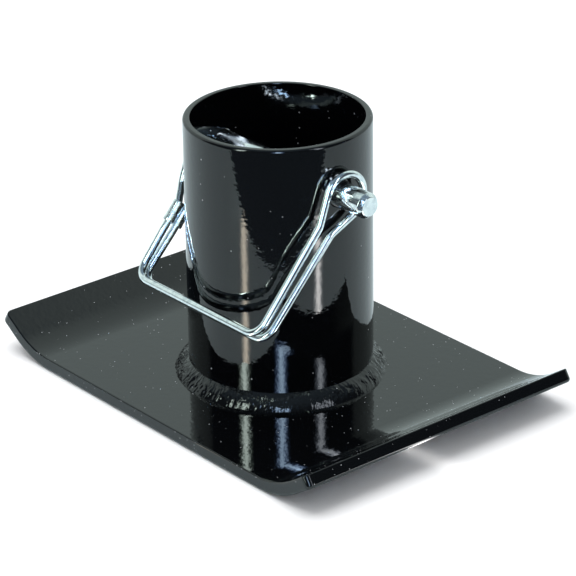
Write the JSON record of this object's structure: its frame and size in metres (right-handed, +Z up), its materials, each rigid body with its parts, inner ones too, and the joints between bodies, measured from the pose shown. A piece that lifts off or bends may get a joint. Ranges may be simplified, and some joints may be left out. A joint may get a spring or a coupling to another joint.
{
  "type": "pole socket foot",
  "caption": "Steel foot plate with two turned-up ends, a welded round tube socket and a lock pin with a spring wire bail that pins a pole or jack leg in the tube.",
  "frame": {"origin": "centre of the whole object's footprint, under the socket tube's axis, on the plate's underside", "axes": "+Z up along the socket tube towards its mouth; +X along the lock pin from its head to its tip, across the plate's bends; +Y along the bends"},
  "size_m": [0.1502, 0.1048, 0.0872],
  "materials": {
    "black_paint": "gloss",
    "zinc_pin": "bright",
    "zinc_wire": "bright",
    "zinc_ferrule": "satin"
  },
  "bodies": {
    "foot": {"base_plate": "black_paint", "socket_tube": "black_paint", "weld_bead": "black_paint"},
    "pin": {"lock_pin": "zinc_pin"},
    "bail": {"bail_wire": "zinc_wire", "bail_hinge_wire": "zinc_wire", "ferrule_upper": "zinc_ferrule", "ferrule_lower": "zinc_ferrule"}
  },
  "joints": [
    {"name": "pin_turn", "type": "hinge", "parent": "foot", "child": "pin", "pos_m": [0, 0, 0.0706], "axis": [-1, 0, 0], "range_deg": [0, 277]},
    {"name": "bail_swing", "type": "hinge", "parent": "pin", "child": "bail", "pos_m": [-0.0314, 0, 0.0706], "axis": [0, 0.5592, -0.829], "range_deg": [0, 180]}
  ]
}
